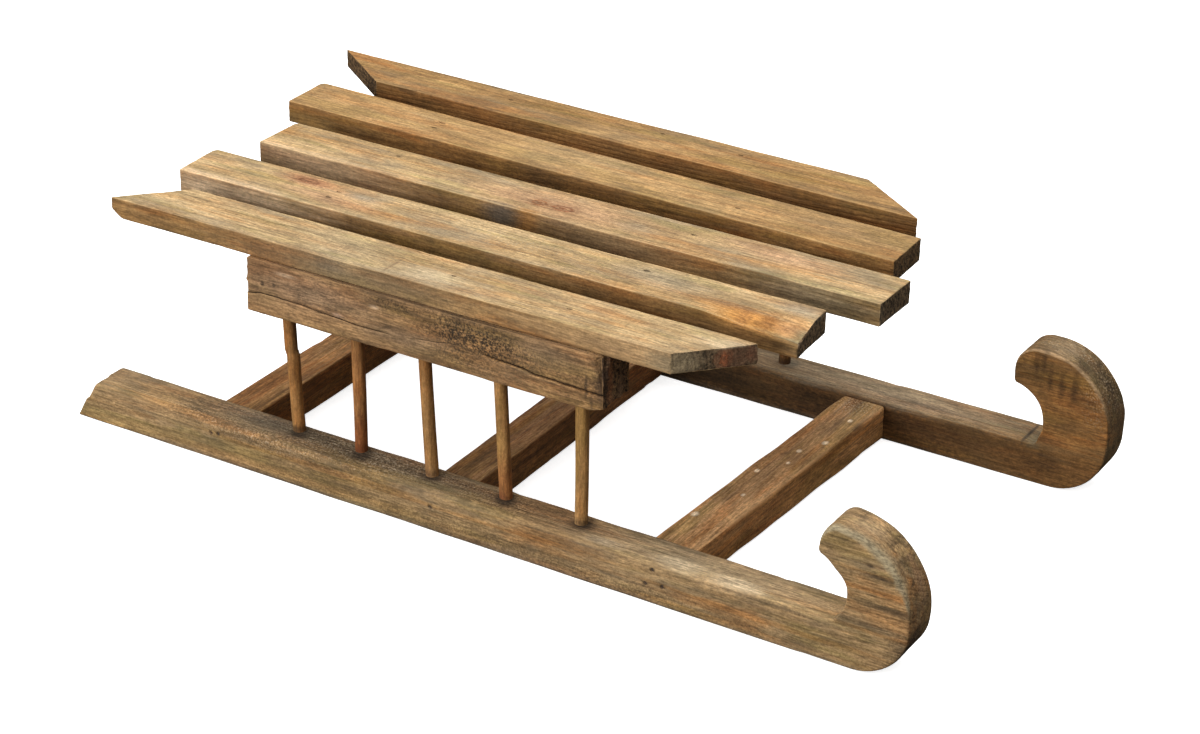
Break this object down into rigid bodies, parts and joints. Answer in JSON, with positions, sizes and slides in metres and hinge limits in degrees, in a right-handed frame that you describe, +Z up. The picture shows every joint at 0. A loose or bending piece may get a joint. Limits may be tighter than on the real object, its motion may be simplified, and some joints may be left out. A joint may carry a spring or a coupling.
{
  "type": "small wooden hand sled",
  "caption": "Small hand sled of reclaimed wood: two hooked runners joined by crossbars, dowel posts, side rails and a deck of lengthwise slats.",
  "frame": {"origin": "middle of the floor of the whole sled's box, at the ground under the runners", "axes": "+X forward, towards the hooked ends of the runners; +Y to the left; +Z up from the ground"},
  "size_m": [0.6284, 0.3152, 0.166],
  "materials": {
    "runner_wood": "weathered, bare",
    "crossbar_wood": "weathered, dark",
    "dowel_wood": "smooth, warm",
    "rail_wood": "weathered, cracked",
    "slat_wood": "rough-sawn, pale",
    "batten_wood": "rough-sawn",
    "nail_steel": "dull, rusty brads, in the visual model only"
  },
  "bodies": {
    "root": {"batten_front": "batten_wood", "batten_rear": "batten_wood", "crossbar_front": "crossbar_wood", "crossbar_middle": "crossbar_wood", "crossbar_rear": "crossbar_wood", "dowel_left_1": "dowel_wood", "dowel_left_2": "dowel_wood", "dowel_left_3": "dowel_wood", "dowel_left_4": "dowel_wood", "dowel_left_5": "dowel_wood", "dowel_right_1": "dowel_wood", "dowel_right_2": "dowel_wood", "dowel_right_3": "dowel_wood", "dowel_right_4": "dowel_wood", "dowel_right_5": "dowel_wood", "rail_left": "rail_wood", "rail_right": "rail_wood", "runner_left": "runner_wood", "runner_right": "runner_wood", "slat_1": "slat_wood", "slat_2": "slat_wood", "slat_3": "slat_wood", "slat_4": "slat_wood", "slat_5": "slat_wood"}
  },
  "joints": []
}
